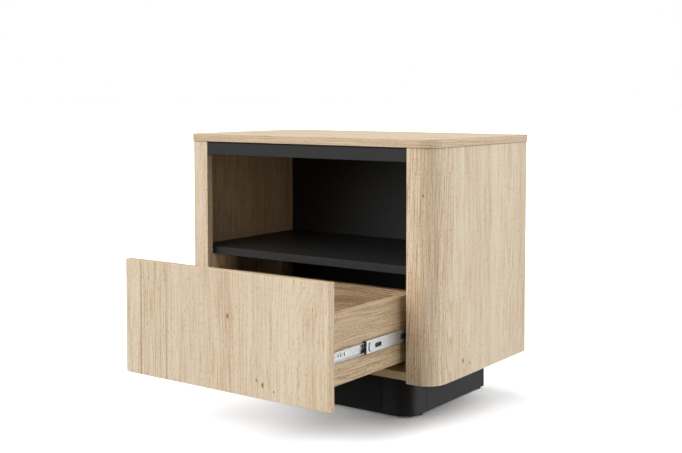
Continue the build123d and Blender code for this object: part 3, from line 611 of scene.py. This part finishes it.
oak_right = oak(
    "oak_right_side",
    UPRIGHT_SIDE,
    seed=2,
    knots=[
        right.spot(0.742, 0.79, 0.0018),
        right.spot(0.135, 0.071, 0.0036, 0.9),
        right.spot(0.223, 0.050, 0.0022, 0.9),
        right.spot(0.688, 0.043, 0.0014, 0.8),
        right.spot(0.450, 0.700, 0.0060, 0.0),
    ],
    streaks=[right.streak(0.45, 0.1000, -0.14)],
    arches=[right.spot(0.43, 0.62, 0.030, 0.22), right.spot(0.80, 0.0, 0.034, 0.16)],
)
post = Marks("right_post", axis=0, face_axis=1, end=0)
oak_right_post = oak(
    "oak_right_post",
    UPRIGHT_FRONT,
    seed=4,
    contrast=1.4,
    edge_tone_and_painted_shade=0.0,
    shade=0.18,
    knots=[post.spot(0.60, 0.80, 0.0024, 0.9), post.spot(0.20, 0.04, 0.0017, 0.9)],
)
oak_left = oak("oak_left_side", UPRIGHT_LEFT_SIDE, seed=3, contrast=1.3)
oak_left_post = oak("oak_left_post", UPRIGHT_LEFT_SIDE, seed=5, contrast=1.2, edge_tone_and_painted_shade=0.0)
# edge_tone_and_painted_shade=0.50 paints shade on the top panel's edges and rounded corners, so
# they read darker than its lit top face.
oak_top = oak("oak_top", LEVEL, seed=6, contrast=0.75, edge_tone_and_painted_shade=0.50)
# The pale bottom decor with shade=-0.25 paints light onto the shadowed front edge of the bottom
# panel.
oak_bottom_painted_light = oak("oak_bottom_painted_light", CROSSWISE, seed=7, edge_tone_and_painted_shade=0.0, shade=-0.25, decor=BOTTOM_OAK_PAINTED_LIGHT)
oak_strips = oak("oak_strips", UPRIGHT_SIDE, seed=9, edge_tone_and_painted_shade=0.0)
# Only the drawer back uses this decor. shade=0.54 darkens it as painted shade for its place deep in
# the cabinet under the shelf.
box_crosswise_painted_shade = oak(
    "box_crosswise_painted_shade", CROSSWISE, seed=10, contrast=1.9, edge_tone_and_painted_shade=0.0, shade=0.54, decor=BOX_OAK
)
# edge_tone_and_painted_shade=-0.1 lightens the drawer sides' edges: a painted highlight on their
# upward-facing top edges.
box_lengthwise = oak(
    "box_lengthwise", LENGTHWISE, seed=8, contrast=1.35, edge_tone_and_painted_shade=-0.1, decor=BOX_OAK
)
finish(oak_front, "drawer_front")
finish(oak_right, "right_side_panel")
finish(oak_left, "left_side_panel")
finish(oak_right_post, "right_post")
finish(oak_left_post, "left_post")
finish(oak_top, "top_panel")
finish(oak_bottom_painted_light, "bottom_panel")
finish(box_crosswise_painted_shade, "drawer_back")

black = black_laminate("black_laminate", depth=1.0, sheen=0.30)
# The plinth's black keeps only 0.4 of the usual grey, and its front only 0.3. This is painted shade
# for the plinth, which stands under the cabinet and the open drawer.
plinth_black_painted_shade = black_laminate("plinth_laminate_painted_shade", depth=0.4, sheen=0.25)
plinth_front_black_painted_shade = black_laminate("plinth_front_laminate_painted_shade", depth=0.3, sheen=0.18)
finish(black, "shelf", "front_rail", "back_panel")
finish(plinth_front_black_painted_shade, "plinth_front")
finish(plinth_black_painted_shade, "plinth_back")

for side in ("right", "left"):
    finish(box_lengthwise, f"{side}_drawer_side")
    finish(oak_strips, f"{side}_front_carrier", f"{side}_rear_carrier")
    finish(plinth_black_painted_shade, f"{side}_plinth_corner", f"{side}_plinth_side")

# The other nodes are finished by the name of their CAD material.
BY_SLOT = {
    "zinc_plated_steel": metal(
        "zinc_plate", (0.44, 0.445, 0.45, 1.0), (0.36, 0.50), stretch=(1.0, 0.04, 1.0)
    ),
    "ball_steel": metal("polished_balls", (0.86, 0.86, 0.87, 1.0), (0.06, 0.12)),
    "screw_steel": metal("screw_plate", (0.74, 0.74, 0.75, 1.0), (0.25, 0.40)),
    "cast_zinc": metal("cast_zinc", (0.62, 0.62, 0.64, 1.0), (0.38, 0.52)),
    "black_plastic": plastic(
        "black_plastic", (0.006, 0.006, 0.006, 1.0), (0.010, 0.010, 0.010, 1.0)
    ),
    "beech_dowel": pale_wood(
        "beech", (0.60, 0.40, 0.24, 1.0), (0.48, 0.30, 0.17, 1.0), (0.05, 1.0, 1.0)
    ),
    "thin_board": pale_wood(
        "thin_board", (0.66, 0.55, 0.40, 1.0), (0.56, 0.45, 0.31, 1.0), (0.05, 1.0, 1.0)
    ),
}
for node_name, slot_name in SLOT_OF.items():
    if slot_name in BY_SLOT:
        finish(BY_SLOT[slot_name], node_name)
